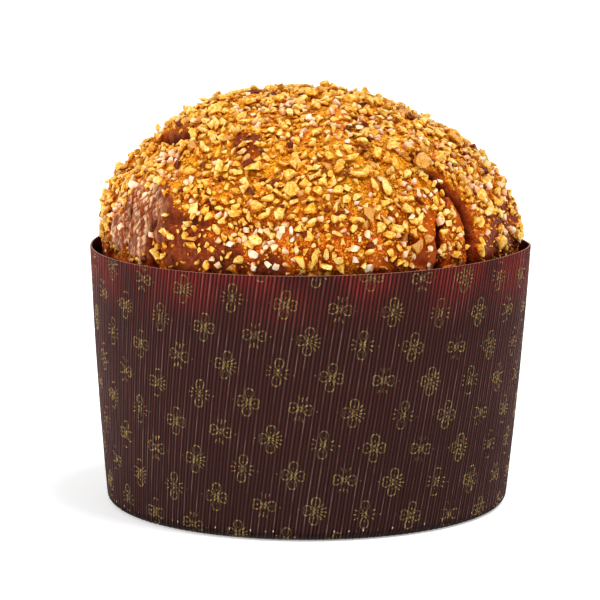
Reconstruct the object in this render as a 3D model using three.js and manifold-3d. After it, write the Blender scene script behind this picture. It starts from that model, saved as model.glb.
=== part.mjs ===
// A tall panettone in the corrugated paper case it was baked in.
//
// Millimetres, +Z up. The origin is on the surface it stands on, under the middle of the rim, and
// -Y is the front. The case is a strip of paper with its lower edge turned in under a loose disc.
// The loaf fills it to just under the rim, parts from the paper there and rises into a dome, with
// torn creases in the crust and chopped almonds and pearl sugar baked on.
import * as THREE from "three";
import { mergeVertices } from "three/addons/utils/BufferGeometryUtils.js";
import Module from "manifold-3d";

// Paper case
const FOOT_RADIUS = 85; // wall just above the heel
const RIM_RADIUS = 92.8; // wall at the rim, spread by the risen dough
const WALL_BULGE = 0.7; // how far the wall swells between foot and rim
const WALL_HEIGHT = 110;
const PAPER = 0.9; // two sheets with their flutes
const HEEL_RADIUS = 4; // round between wall and foot
const FLANGE_RADIUS = 68; // inner edge of the paper turned in under the disc
const FOOT_SHIFT = -1.6; // the foot's middle from the rim's middle, along X
const RIM_SWAY = 0.9; // the rim's rise on the right and dip on the left
const DISC_RADIUS = FOOT_RADIUS - HEEL_RADIUS + 0.5;
const GAP = 0.3; // between pieces that touch

// Loaf
const PART_HEIGHT = 88; // where the crust parts from the paper
const DOME_FOOT = 112; // where the dome starts to close
const DOME_RISE = 63;
const DOME_RADIUS = 88.2;
const DOME_POWER = 1.95; // superellipse exponent of the dome's side view
const DOME_SHIFT = -1.6; // the dome's middle from the rim's middle, along X
const SHIFT_OVER = 12; // height above DOME_FOOT over which that shift comes in
const DOME_LEAN = -6; // the top's further shift along X
const LEAN_START = 38; // height above DOME_FOOT where the lean begins

// Crust
const LOBE_HEIGHT = 1.3; // lobes round the dome's foot
const WAVES = 9;
const LONGEST_WAVE = 62;
const WAVE_FALL = 0.84; // each wave's length over that of the one before
const WAVE_SLOPE = 0.007; // a wave's height over its length
const WAVE_STEP = 2.4; // radians between one wave's phase and the next
const CLIMB_STEP = 1.7; // radians between one wave's slant and the next
const LIP = 0.35; // height of the lip beside a crease, over the crease's depth
const LIP_PLACE = 2; // the lip's distance from the crease, in half widths
const FOOT_RELIEF = 0.8; // the most that the crust stands off the smooth dome at its foot
const TOP_RELIEF = 3.8; // and at its top

// Toppings
const TOPPINGS = 250; // places for the pieces large enough to show in the solid
const SUGAR_EVERY = 5; // one place in this many holds sugar, the others chopped almond
const THINNING = 1.06; // above 1, fewer towards the dome's foot
const SCATTER = 0.06; // radians round the dome
const CHIP_SIZE = [4.4, 7.6];
const CHIP_WIDTH = [0.55, 0.85]; // of its length
const CHIP_THICKNESS = [0.45, 0.65]; // of its length
const SUGAR_SIZE = [2.6, 3.4];
const ROUGHNESS = 0.065; // how far a corner is knocked from its place, over the piece's size
const TILT = 0.45; // how far a piece leans off the crust, as a slope
const BARE_RISE = 6; // degrees above the dome's foot that stay bare
const BARE_CREASE = 1; // half widths of a crease that stay bare
const STAND = 0.5; // a topping's middle above the crust
const DROP = 15; // height over the smooth dome that a topping is lowered from

// Mesh fineness
const CASE_SIDES = 84;
const LOAF_SIDES = 90;
const HEEL_STEPS = 3;
const DOME_ROWS = 16;
const WALL_LEVELS = [40, 75, WALL_HEIGHT]; // rings of the case's wall above the heel
const SIDE_LEVELS = [40, PART_HEIGHT, 95, 101, 106]; // rings of the loaf's side above the heel

const DEGREE = Math.PI / 180;
const GOLDEN_ANGLE = Math.PI * (3 - Math.sqrt(5));
const LOAF_BOTTOM = 2 * PAPER + 2 * GAP;

// Seeded random numbers from 0 to 1.
function seeded(seed) {
  let state = seed;
  return () => {
    state = (state + 0x6d2b79f5) | 0;
    let mixed = Math.imul(state ^ (state >>> 15), 1 | state);
    mixed = (mixed + Math.imul(mixed ^ (mixed >>> 7), 61 | mixed)) ^ mixed;
    return ((mixed ^ (mixed >>> 14)) >>> 0) / 4294967296;
  };
}

const between = (random, [low, high]) => low + (high - low) * random();

// A closed surface from rings of points, each ring running counter-clockwise seen from above.
// A ring of one point closes an end. With loop set, the last ring joins the first.
function surfaceOf(rings, loop) {
  const starts = [];
  const points = [];
  for (const ring of rings) {
    starts.push(points.length);
    points.push(...ring);
  }
  const faces = [];
  const bands = loop ? rings.length : rings.length - 1;
  for (let band = 0; band < bands; band++) {
    const next = (band + 1) % rings.length;
    const [lower, upper] = [starts[band], starts[next]];
    const [lowerCount, upperCount] = [rings[band].length, rings[next].length];
    const sides = Math.max(lowerCount, upperCount);
    for (let i = 0; i < sides; i++) {
      const a = lower + (i % lowerCount);
      const b = lower + ((i + 1) % lowerCount);
      const c = upper + ((i + 1) % upperCount);
      const d = upper + (i % upperCount);
      if (lowerCount > 1) faces.push(a, b, c);
      if (upperCount > 1) faces.push(a, c, d);
    }
  }
  const geometry = new THREE.BufferGeometry();
  geometry.setAttribute("position", new THREE.Float32BufferAttribute(points.flat(), 3));
  geometry.setIndex(faces);
  return geometry;
}

// Outer radius of the case's wall, and the shift of its middle along X, at a height.
function wallRadius(height) {
  const share = Math.max(0, height - HEEL_RADIUS) / (WALL_HEIGHT - HEEL_RADIUS);
  return FOOT_RADIUS + (RIM_RADIUS - FOOT_RADIUS) * share + WALL_BULGE * Math.sin(Math.PI * share);
}

const wallShift = (height) => FOOT_SHIFT * Math.max(0, 1 - height / WALL_HEIGHT);

// A level ring of the case. The rim's sway fades out towards the foot.
function caseRing(radius, height) {
  const ring = [];
  for (let i = 0; i < CASE_SIDES; i++) {
    const turn = (2 * Math.PI * i) / CASE_SIDES;
    const sway = RIM_SWAY * Math.cos(turn) * (height / WALL_HEIGHT) ** 3;
    ring.push([
      wallShift(height) + radius * Math.cos(turn),
      radius * Math.sin(turn),
      height + sway,
    ]);
  }
  return ring;
}

// The strip: heel and outer face going up, over the rim, inner face going down, and the flange.
function caseWall() {
  const heelMiddle = FOOT_RADIUS - HEEL_RADIUS;
  const heel = (radius, step) => {
    const turn = (step / HEEL_STEPS) * 90 * DEGREE;
    return [heelMiddle + radius * Math.sin(turn), HEEL_RADIUS - radius * Math.cos(turn)];
  };
  const steps = [...Array(HEEL_STEPS + 1).keys()];
  const outline = [
    [FLANGE_RADIUS, 0],
    ...steps.map((step) => heel(HEEL_RADIUS, step)),
    ...WALL_LEVELS.map((height) => [wallRadius(height), height]),
    ...WALL_LEVELS.toReversed().map((height) => [wallRadius(height) - PAPER, height]),
    ...steps.toReversed().map((step) => heel(HEEL_RADIUS - PAPER, step)),
    [FLANGE_RADIUS, PAPER],
  ];
  return surfaceOf(
    outline.map(([radius, height]) => caseRing(radius, height)),
    true,
  );
}

// The loose disc on the flange, a cylinder along Y until it is laid down.
function caseBase() {
  return new THREE.CylinderGeometry(DISC_RADIUS, DISC_RADIUS, PAPER, CASE_SIDES / 2);
}

// A point of the smooth dome. Rise runs from 0 degrees at its foot to 90 at its top.
function domePoint(turn, rise) {
  const reach = Math.cos(rise) ** (2 / DOME_POWER);
  const height = DOME_RISE * Math.sin(rise) ** (2 / DOME_POWER);
  const shift = DOME_SHIFT * Math.min(1, height / SHIFT_OVER);
  const lean = DOME_LEAN * (Math.max(0, height - LEAN_START) / (DOME_RISE - LEAN_START)) ** 2;
  return new THREE.Vector3(
    DOME_RADIUS * reach * Math.cos(turn) + shift + lean,
    DOME_RADIUS * reach * Math.sin(turn),
    DOME_FOOT + height,
  );
}

function domeNormal(turn, rise) {
  return new THREE.Vector3(
    (Math.cos(rise) * Math.cos(turn)) / DOME_RADIUS,
    (Math.cos(rise) * Math.sin(turn)) / DOME_RADIUS,
    Math.sin(rise) / DOME_RISE,
  ).normalize();
}

// Creases torn in the crust as it rose: paths of [turn, rise] in degrees, with depth and half width.
const CREASES = [
  {
    name: "tear on the right, from the top flap to the rim",
    path: [[311, 38], [315, 29], [318, 24], [321, 17], [320, 11], [318, 0]],
    depth: 5.5,
    width: 3.4,
  },
  {
    name: "second fold inside the tear",
    path: [[310, 20], [310, 14], [308, 8], [307, 0]],
    depth: 3,
    width: 2.6,
  },
  {
    name: "fold below the torn flap, right of the middle",
    path: [[293, 24], [296, 15], [299, 7], [301, 0]],
    depth: 2.2,
    width: 3,
  },
  {
    name: "deep fold between the two lobes on the left",
    path: [[206, 24], [209, 17], [211, 10], [209, 0]],
    depth: 4.5,
    width: 3,
  },
  {
    name: "edge of the glazed lobe on the left",
    path: [[226, 17], [223, 12], [223, 0]],
    depth: 3,
    width: 2.6,
  },
  {
    name: "shadowed step under the nuts, left of the middle",
    path: [[227, 16], [234, 15], [240, 16], [246, 13]],
    depth: 2.5,
    width: 3,
  },
  {
    name: "step under the corner of the upper left flap",
    path: [[164, 43], [176, 42], [188, 45], [199, 49], [211, 52], [222, 55]],
    depth: 4,
    width: 3.2,
  },
  {
    name: "curl under that flap",
    path: [[202, 45], [212, 46], [222, 47]],
    depth: 2.5,
    width: 2.4,
  },
  {
    name: "scored line across the top",
    path: [[226, 70], [240, 71], [262, 72], [300, 70]],
    depth: 2,
    width: 2.4,
  },
  {
    name: "step under the nuts on the right",
    path: [[336, 42], [348, 38], [360, 37], [374, 40]],
    depth: 3,
    width: 4.5,
  },
  {
    name: "tear at the back, from the top flap to the rim",
    path: [[118, 46], [112, 34], [109, 22], [111, 11], [108, 0]],
    depth: 5,
    width: 3.4,
  },
  {
    name: "fold at the back left",
    path: [[152, 27], [156, 16], [155, 0]],
    depth: 3.5,
    width: 3,
  },
  {
    name: "fold at the back right",
    path: [[58, 25], [54, 14], [56, 0]],
    depth: 3.5,
    width: 3,
  },
  {
    name: "fold at the right",
    path: [[16, 22], [13, 12], [15, 0]],
    depth: 3,
    width: 3,
  },
].map((crease) => ({
  ...crease,
  points: crease.path.map(([turn, rise]) => domePoint(turn * DEGREE, rise * DEGREE)),
}));

// Distance from a point to a crease's path.
function toCrease(point, crease) {
  const nearest = new THREE.Vector3();
  const segment = new THREE.Line3();
  let distance = Infinity;
  for (let i = 1; i < crease.points.length; i++) {
    segment.set(crease.points[i - 1], crease.points[i]);
    segment.closestPointToPoint(point, true, nearest);
    distance = Math.min(distance, nearest.distanceTo(point));
  }
  return distance;
}

// Broad swellings of the crust: lobes round the foot, and waves of falling length all over.
function swelling(point, turn, rise) {
  const foot = Math.cos(rise) ** 3;
  let height = LOBE_HEIGHT * foot * (Math.sin(5 * turn) + 0.6 * Math.cos(8 * turn));
  for (let i = 0; i < WAVES; i++) {
    const heading = i * GOLDEN_ANGLE;
    const climb = Math.sin(CLIMB_STEP * i);
    const length = LONGEST_WAVE * WAVE_FALL ** i;
    const along = point.x * Math.cos(heading) + point.y * Math.sin(heading) + point.z * climb;
    height += WAVE_SLOPE * length * Math.sin((2 * Math.PI * along) / length + WAVE_STEP * i);
  }
  return height;
}

// How far the crust stands off the smooth dome.
function relief(point, turn, rise) {
  let height = swelling(point, turn, rise);
  for (const crease of CREASES) {
    const reach = toCrease(point, crease) / crease.width;
    const lip = LIP * Math.exp(-((reach - LIP_PLACE) ** 2));
    height += crease.depth * (lip - Math.exp(-(reach ** 2)));
  }
  return height;
}

// A point of the crust. Beside the dome's foot, nothing of it may reach the paper.
function crustPoint(turn, rise) {
  const smooth = domePoint(turn, rise);
  const most = FOOT_RELIEF + (TOP_RELIEF - FOOT_RELIEF) * Math.sin(rise);
  const height = Math.min(relief(smooth, turn, rise), most);
  return smooth.addScaledVector(domeNormal(turn, rise), height);
}

// The loaf's side in the case: against the paper, then drawing in to the dome's foot.
function sideRing(height) {
  const inside = (level) => {
    const drop = HEEL_RADIUS - level;
    const heelInside = HEEL_RADIUS - PAPER - GAP;
    return drop > 0
      ? FOOT_RADIUS - HEEL_RADIUS + Math.sqrt(heelInside ** 2 - drop ** 2)
      : wallRadius(level) - PAPER - GAP;
  };
  const share = THREE.MathUtils.smoothstep(height, PART_HEIGHT, DOME_FOOT);
  const ring = [];
  for (let i = 0; i < LOAF_SIDES; i++) {
    const turn = (2 * Math.PI * i) / LOAF_SIDES;
    const crust = crustPoint(turn, 0);
    const against = inside(Math.min(height, PART_HEIGHT));
    const shift = wallShift(height) * (1 - share);
    ring.push([
      shift + against * Math.cos(turn) * (1 - share) + crust.x * share,
      against * Math.sin(turn) * (1 - share) + crust.y * share,
      height,
    ]);
  }
  return ring;
}

function crustRing(rise) {
  return [...Array(LOAF_SIDES).keys()].map((i) =>
    crustPoint((2 * Math.PI * i) / LOAF_SIDES, rise).toArray(),
  );
}

function loafBody() {
  const rises = [...Array(DOME_ROWS).keys()].map((row) => (row * 90 * DEGREE) / DOME_ROWS);
  return surfaceOf(
    [
      [[FOOT_SHIFT, 0, LOAF_BOTTOM]],
      ...[LOAF_BOTTOM, HEEL_RADIUS, ...SIDE_LEVELS].map(sideRing),
      ...rises.map(crustRing),
      [crustPoint(0, 90 * DEGREE).toArray()],
    ],
    false,
  );
}

// A chip of almond: an octahedron pressed flat and knocked out of shape.
function chip(random) {
  const size = between(random, CHIP_SIZE);
  const shape = new THREE.OctahedronGeometry(size / 2, 0);
  shape.scale(1, between(random, CHIP_WIDTH), between(random, CHIP_THICKNESS));
  return knocked(shape, size, random);
}

// A grain of pearl sugar: a rough cube.
function sugar(random) {
  const size = between(random, SUGAR_SIZE);
  return knocked(new THREE.BoxGeometry(size, size, 0.8 * size), size, random);
}

function knocked(shape, size, random) {
  const merged = weldedCopy(shape);
  const position = merged.getAttribute("position");
  for (let i = 0; i < position.array.length; i++) {
    position.array[i] += size * between(random, [-ROUGHNESS, ROUGHNESS]);
  }
  return merged;
}

function weldedCopy(geometry) {
  const bare = geometry.clone();
  bare.deleteAttribute("normal");
  bare.deleteAttribute("uv");
  return mergeVertices(bare, 1e-4);
}

// Sets a topping into the crust over a place on the dome, lying roughly along it.
function placed(shape, body, turn, rise, random) {
  const normal = domeNormal(turn, rise);
  const tilt = new THREE.Vector3(random() - 0.5, random() - 0.5, random() - 0.5);
  const up = normal.clone().addScaledVector(tilt, 2 * TILT).normalize();
  const stand = new THREE.Quaternion().setFromUnitVectors(new THREE.Vector3(0, 0, 1), up);
  shape.rotateZ(2 * Math.PI * random());
  shape.applyQuaternion(stand);
  const above = domePoint(turn, rise).addScaledVector(normal, DROP);
  const [hit] = new THREE.Raycaster(above, normal.clone().negate()).intersectObject(body);
  const middle = hit.point.addScaledVector(normal, STAND);
  return shape.translate(middle.x, middle.y, middle.z);
}

// The creases tore open after the toppings went on, so they are bare.
function isBare(turn, rise) {
  const place = domePoint(turn, rise);
  return CREASES.some((crease) => toCrease(place, crease) < BARE_CREASE * crease.width);
}

// Chips and sugar in one spiral of equal spacing, thinner towards the dome's foot.
function toppings(body) {
  const random = seeded(26);
  const lowest = Math.sin(BARE_RISE * DEGREE);
  const pieces = [];
  for (let i = 0; i < TOPPINGS; i++) {
    const share = (i + 0.5) / TOPPINGS;
    const rise = Math.asin(1 - (1 - lowest) * share ** THINNING);
    const turn = i * GOLDEN_ANGLE + between(random, [-SCATTER, SCATTER]);
    const shape = i % SUGAR_EVERY === 0 ? sugar(random) : chip(random);
    if (!isBare(turn, rise)) pieces.push(placed(shape, body, turn, rise, random));
  }
  return pieces;
}

const wasm = await Module();
wasm.setup();

function solidOf(geometry) {
  return new wasm.Manifold(
    new wasm.Mesh({
      numProp: 3,
      vertProperties: geometry.getAttribute("position").array,
      triVerts: new Uint32Array(geometry.index.array),
    }),
  );
}

function geometryOf(solid) {
  const { vertProperties, triVerts } = solid.getMesh();
  const geometry = new THREE.BufferGeometry();
  geometry.setAttribute("position", new THREE.BufferAttribute(vertProperties, 3));
  geometry.setIndex(new THREE.BufferAttribute(triVerts, 1));
  return geometry;
}

// The loaf with every topping fused to its crust.
function loaf() {
  const body = loafBody();
  const pieces = toppings(new THREE.Mesh(body));
  return geometryOf(pieces.reduce((sum, piece) => sum.add(solidOf(piece)), solidOf(body)));
}

const paper = new THREE.MeshStandardMaterial({ color: 0x472e29, roughness: 0.55 });
const crust = new THREE.MeshStandardMaterial({ color: 0xc9812f, roughness: 0.6 });

function named(name, geometry, material) {
  const mesh = new THREE.Mesh(geometry, material);
  mesh.name = name;
  return mesh;
}

const base = named("case_base", caseBase(), paper);
base.rotation.x = 90 * DEGREE;
base.position.set(FOOT_SHIFT, 0, 1.5 * PAPER + GAP);

const panettone = new THREE.Group();
panettone.add(named("case_wall", caseWall(), paper), base, named("loaf", loaf(), crust));

export default panettone;
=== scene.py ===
"""A tall panettone in its paper case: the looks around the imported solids.

Sizes are in millimetres until a mesh is made, which turns them into metres. The case and the smooth
dome follow the solids, by the same values. -Y is the front. A turn runs round the loaf from +X, and
a rise from the dome's foot to its top.
"""
from itertools import product
from math import cos, pi, radians, sin, sqrt

import bmesh
import bpy
import numpy as np
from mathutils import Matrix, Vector, kdtree, noise
from numpy.linalg import norm


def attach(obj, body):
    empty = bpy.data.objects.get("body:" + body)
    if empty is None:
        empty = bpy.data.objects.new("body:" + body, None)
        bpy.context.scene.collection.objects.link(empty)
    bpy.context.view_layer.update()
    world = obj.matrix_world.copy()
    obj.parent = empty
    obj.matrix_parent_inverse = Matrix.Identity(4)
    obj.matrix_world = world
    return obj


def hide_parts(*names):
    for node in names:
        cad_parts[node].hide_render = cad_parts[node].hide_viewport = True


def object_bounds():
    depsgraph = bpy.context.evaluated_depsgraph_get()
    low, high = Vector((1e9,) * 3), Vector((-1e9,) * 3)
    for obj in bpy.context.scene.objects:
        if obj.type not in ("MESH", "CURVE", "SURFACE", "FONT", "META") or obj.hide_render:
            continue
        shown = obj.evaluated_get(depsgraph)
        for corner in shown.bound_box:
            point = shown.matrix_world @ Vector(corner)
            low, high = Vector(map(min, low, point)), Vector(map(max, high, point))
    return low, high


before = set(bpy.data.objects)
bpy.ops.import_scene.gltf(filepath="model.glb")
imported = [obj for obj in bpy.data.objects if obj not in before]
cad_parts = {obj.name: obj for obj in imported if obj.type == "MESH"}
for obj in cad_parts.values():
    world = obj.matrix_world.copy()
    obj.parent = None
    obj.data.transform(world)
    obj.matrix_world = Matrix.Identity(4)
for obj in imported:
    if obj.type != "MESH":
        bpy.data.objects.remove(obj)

SOLID_BOX = [list(corner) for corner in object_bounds()]
MM = 0.001
GOLDEN_ANGLE = pi * (3 - sqrt(5))

# Floor, each lamp's way, power and spread, and the sky's strength by height and from left to right
FLOOR_REACH = 6.0
FLOOR_GLOW = 0.38
LAMPS = [("key", (-0.34, 0.14, -1.0), 2.35, 24), ("left", (1.0, 0.3, -0.6), 1.1, 40)]
SKY_HEIGHT = (0.25, 0.9)
SKY_SIDES = (1.1, 0.52)

# Camera and photograph
PHOTO_SIZE = 600
FOCAL_PIXELS = 3601.7
SENSOR = 36.0
CAMERA_PLACE = (-4.4, -1500.0, 340.5)
CAMERA_DIP = 0.16895  # radians below the horizon

# Paper case
FOOT_RADIUS = 85.0
RIM_RADIUS = 92.8
WALL_BULGE = 0.7
WALL_HEIGHT = 110.0
PAPER = 0.9
HEEL_RADIUS = 4.0
FLANGE_RADIUS = 68.0
FOOT_SHIFT = -1.6
RIM_SWAY = 0.9
GAP = 0.3
CASE_LENGTH = WALL_HEIGHT - HEEL_RADIUS + HEEL_RADIUS * pi / 2  # up the outside, from the heel's start
INSIDE_RINGS = (CASE_LENGTH - 6, CASE_LENGTH - 14, CASE_LENGTH - 30, 40.0)  # lengths, going down

# Bends of the rim: turn and half width in degrees, millimetres outwards and up
RIM_BENDS = [(340, 8, 1.1, 0.4), (12, 20, 0.0, -3.0)]
BEND_START = 62.0  # height from which the wall follows them

# Flutes of the paper
FLUTES = 346
FLUTE_STEPS = 6  # columns of the mesh to a flute
FLUTE_DEPTH = 0.55
PAPER_ANGLE = 60  # degrees from which an edge stays sharp
LOW_RIDGE = 0.3  # how much lower every second ridge stands, as a share of the depth
FLUTE_LEAN = 0.00146  # radians round the case for each millimetre up
FLUTE_WANDER = [(0.5, 23, 0.05), (0.35, 61, -0.11)]  # strength, waves, drift for each mm up
RIDGE_SHAPE = 0.8  # power that rounds the ridges
HEEL_PINCH = 0.3  # extra depth where the flutes are folded in under the foot
PINCH_PLACE = 4.4
PINCH_REACH = 2.2
PINCH_WAVES = (37, 91)

# Print, whose lattice closes round the case
ROW_STEPS = 28
ROWS_CLIMBED = 4
NEXT_ROW = (5.955, -14.942)  # turn in degrees and millimetres up the wall
FIRST_MOTIF = (263.7, 98.33)
MOTIF_TILT = -0.115
TILT_SPREAD = 0.04
MOTIF_REACH = 7.0
UPRIGHT_PETAL = (0.8, 6.0, 2.0, 0.3)  # near and far end, half width and depth of the notch
SIDE_PETAL = (0.8, 5.1, 2.4, 0.8)
PRINT_SEED = 5
INK_WIDTH = 0.5
INK_STAND = 0.05
INK_STEP = 0.42
INK_MARGINS = (0.6, 0.4)  # bare paper at the heel and at the rim

# Loaf
PART_HEIGHT = 88.0
DOME_FOOT = 112.0
DOME_RISE = 63.0
DOME_RADIUS = 88.2
DOME_POWER = 1.95
DOME_SHIFT = -1.6
SHIFT_OVER = 12.0
DOME_LEAN = -6.0
LEAN_START = 38.0
LOAF_BOTTOM = 2 * PAPER + 2 * GAP
SIDE_LEVELS = (106.5, 98, PART_HEIGHT, HEEL_RADIUS, LOAF_BOTTOM)  # rings of its side
LOWEST_RISE = -0.07  # radians: the crust's relief goes on this far below the dome's foot

# Crust
LOBE_HEIGHT = 1.3
WAVES = 9
LONGEST_WAVE = 62.0
WAVE_FALL = 0.84
WAVE_SLOPE = 0.007
WAVE_STEP = 2.4
CLIMB_STEP = 1.7
LIP = 0.25
LIP_PLACE = 2.0
FOOT_RELIEF = 0.8
TOP_RELIEF = 3.8
BED = 2.0  # how far the crust lies below the solid's where nuts and glaze cover it
CRUST_CELLS = 300  # cells along each side of the square that is wrapped over the dome
STRAND_SQUASH = 0.2
STRAND_LEAN = 0.010  # radians round the loaf for each millimetre up
STRAND_TURN = 215.0  # where the strands of the bare skin lean most
STRAND_MIDDLE = 0.65  # middle height of the strands
NORMAL_STEP = 0.012  # radians between the points that a normal is taken from

# Noises: size of their features in millimetres, octaves and seed
WANDERING = (4.5, 3, 51.0)
CRACKLE = (2.4, 3, 7.0)
LUMPS = (7.5, 2, 21.0)
COARSE_STRANDS = (2.7, 2, 3.0)
FINE_STRANDS = (1.4, 2, 9.0)
CLUMPS = (9.0, 2, 40.0)

# Creases of the crust: path of (turn, rise) in degrees, depth and half width in millimetres
CREASES = {
    "tear on the right": (
        [(311, 38), (314, 32), (316, 26.5), (319, 20.5), (320, 17), (320, 12), (319, 5), (318, -3)],
        5.0, 2.6),
    "second fold in it": ([(312, 31), (314, 25), (313, 21), (311, 17)], 2.0, 1.5),
    "side of the smooth lobe": ([(310, 18), (310, 14), (308, 8), (307, 0), (306, -3)], 3.2, 1.9),
    "fold below the torn flap": ([(293, 24), (296, 15), (299, 7), (301, 0)], 1.2, 2.2),
    "fold between the left lobes": ([(206, 24), (209, 17), (211, 10), (209, -3)], 4.5, 2.6),
    "edge of the glazed lobe": ([(226, 17), (223, 12), (223, -3)], 2.5, 2.4),
    "step under the nuts": ([(227, 16), (234, 15), (240, 16), (246, 13)], 1.4, 2.4),
    "step under the upper left flap": (
        [(178, 43), (188, 45.5), (193, 47.5), (199, 49.5), (204, 51.5), (210, 54), (216, 56)], 4.5, 3.0),
    "curl under that flap": ([(202, 46), (212, 47), (222, 47.5)], 3.0, 2.0),
    "scored line across the top": ([(226, 69), (240, 69.5), (256, 70), (275, 70)], 3.0, 1.8),
    "step on the right": ([(336, 42), (348, 38), (360, 37), (374, 40)], 1.6, 3.6),
    "tear at the back": ([(118, 46), (112, 34), (109, 22), (111, 11), (108, -3)], 4.5, 2.6),
    "fold at the back left": ([(152, 27), (156, 16), (155, -3)], 3.5, 2.6),
    "fold at the back right": ([(58, 25), (54, 14), (56, -3)], 3.5, 2.6),
    "fold at the right": ([(16, 22), (13, 12), (15, -3)], 3.0, 2.6),
}
CORE = 0.5  # width of the dark slit in a crease, as a share of the crease
CORE_DEPTH = 0.38
FADE = 0.2  # share of a crease over which it fades in
WANDER = 1.3  # how far a crease wanders off its path, in millimetres
NARROWEST = 0.45  # half width at the ends, as a share of the middle's
GROOVE_DEPTH = 3.5  # creases at least this deep get the full darker red and painted shade of a crease
TEAR_DEPTH = 4.0  # creases at least this deep are kept clear of toppings
TEAR_MARGIN = 3.2  # how far beyond their sides

# Patches of the crust as (turn, rise) in degrees and a radius in millimetres
PATCH_CORE = 0.6  # share of the radius that is wholly inside
PATCH_EDGE = 1.25  # and where the patch ends
SKIN_PATCHES = [  # bare skin, without glaze
    (216, 10, 17), (209, 20, 10), (222, 24, 7), (203, 8, 11), (236, 2, 15), (246, 1, 12), (259, -1, 9),
    (230, 13, 10), (239, 14, 6), (226, 18, 8), (332, 7, 11), (342, 9, 17), (354, 12, 9), (325, 2, 7),
    (246, 49, 7), (120, 9, 17), (140, 3, 13), (98, 3, 10), (62, 5, 13), (30, 8, 14), (8, 3, 9),
    (172, 5, 12), (150, 22, 7),
]
GLAZE_PATCHES = [  # smooth glaze without nuts
    (306, 17, 3.5), (305.5, 12, 4.5), (304.5, 6, 5), (303, 1, 5), (316, 22, 6), (316.5, 17, 6), (289, 1, 5),
    (249, 44, 4.5), (78, 10, 8), (112, 27, 5), (40, 20, 5),
]
THIN_PATCHES = [  # fewer nuts
    (293, 33, 26), (303, 18, 15), (284, 4, 15), (262, 40, 12), (275, 52, 14), (225, 30, 12),
    (329, 21, 17), (342, 13, 18), (350, 20, 16), (110, 38, 22), (60, 20, 18), (20, 40, 16),
]
GLOSSY_PATCHES = [(215, 15, 18), (203, 9, 14), (120, 14, 20), (30, 12, 18), (172, 8, 14)]  # pale skin, glossier, whose palest strands are partly painted highlights
HOLLOW_PATCHES = [(186, 36, 12), (190, 41, 9), (200, 44, 9), (208, 47, 8), (70, 42, 16)]
HOLLOW_DEPTH = 3.4
SUGAR_PATCHES = [  # more sugar, fewer nuts
    (212, 33, 18), (198, 22, 12), (306, 27, 9), (330, 40, 14), (336, 24, 6), (262, 9, 14), (236, 64, 11),
    (290, 62, 11), (305, 56, 12), (318, 50, 12), (262, 70, 10), (345, 33, 7),
    (90, 30, 20), (30, 45, 18), (150, 40, 15),
]

# Toppings, the biggest first: tries, range of sizes, how close two may lie as a share of their size,
# form, width and thickness as shares of the size, cuts, skew, height above the crust as a share of
# the size, tilt, finish and density
TOPPINGS = {
    "almond_slivers": dict(
        tries=600, size=(5.4, 8.2), apart=0.55, form="pebble", width=(0.4, 0.62), thick=(0.3, 0.5),
        cuts=6, skew=0.3, lift=0.14, tilt=0.3, finish="almond", grows="nuts"),
    "almond_chips": dict(
        tries=8000, size=(3.3, 6.4), apart=0.6, form="block", width=(0.7, 1.0), thick=(0.55, 0.9),
        cuts=6, skew=0.2, lift=0.14, tilt=0.42, finish="almond", grows="nuts"),
    "almond_skins": dict(
        tries=800, size=(3.2, 5.2), apart=0.5, form="block", width=(0.5, 0.9), thick=(0.3, 0.5),
        cuts=4, skew=0.2, lift=0.2, tilt=0.5, finish="almond_skin", grows="nuts"),
    "almond_bits": dict(
        tries=9000, size=(2.1, 3.6), apart=0.66, form="block", width=(0.7, 1.0), thick=(0.55, 0.9),
        cuts=6, skew=0.2, lift=0.1, tilt=0.5, finish="almond", grows="nuts"),
    "pearl_sugar": dict(
        tries=9000, size=(2.2, 3.7), apart=0.64, form="block", width=(0.75, 1.0), thick=(0.65, 0.95),
        cuts=3, skew=0.2, lift=0.2, tilt=0.6, finish="pearl_sugar", grows="sugar"),
    "almond_meal": dict(
        tries=30000, size=(1.0, 2.2), apart=0.6, form="crumb", width=(0.6, 1.0), thick=(0.4, 0.8),
        cuts=3, skew=0.25, lift=0.02, tilt=0.6, finish="almond_meal", grows="meal"),
}
SHADY_TOPPINGS = ("almond_slivers", "almond_chips", "almond_bits")  # they cast painted shade on the crust next to them
SHADE_REACH = 1.6  # how far that goes, in half sizes
TOPPING_SEED = 11
SCATTER_CELL = 7.0  # at least as wide as two toppings keep apart
CUT_LEVELS = (0.35, 0.8)  # how far from the middle a cut may lie
CORNER_CUT = 0.4
LIFT_RANGE = (-0.08, 0.2)
FACET_ANGLE = 24  # the same for toppings


# Meshes and materials
def add_object(name, data):
    made = bpy.data.objects.new(name, data)
    bpy.context.scene.collection.objects.link(made)
    return made


def make_piece(name, points, faces, materials, sharp_from=180):
    """A mesh piece from points in millimetres, riding on the one body."""
    mesh = bpy.data.meshes.new(name)
    points = np.asarray(points, dtype=float) * MM
    faces = np.asarray(faces, dtype=np.int32)
    mesh.vertices.add(len(points))
    mesh.vertices.foreach_set("co", points.ravel())
    mesh.loops.add(faces.size)
    mesh.loops.foreach_set("vertex_index", faces.ravel())
    mesh.polygons.add(len(faces))
    mesh.polygons.foreach_set("loop_start", np.arange(len(faces), dtype=np.int32) * faces.shape[1])
    mesh.update(calc_edges=True)
    mesh.validate()
    mesh.shade_smooth()
    if sharp_from < 180:
        mesh.set_sharp_from_angle(angle=radians(sharp_from))
    for material in materials:
        mesh.materials.append(material)
    piece = add_object(name, mesh)
    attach(piece, "root")
    return piece


def paint(piece, name, values):
    """A number for each point of the mesh, for its material."""
    attribute = piece.data.attributes.new(name, "FLOAT", "POINT")
    attribute.data.foreach_set("value", np.asarray(values, dtype=np.float32))


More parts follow.
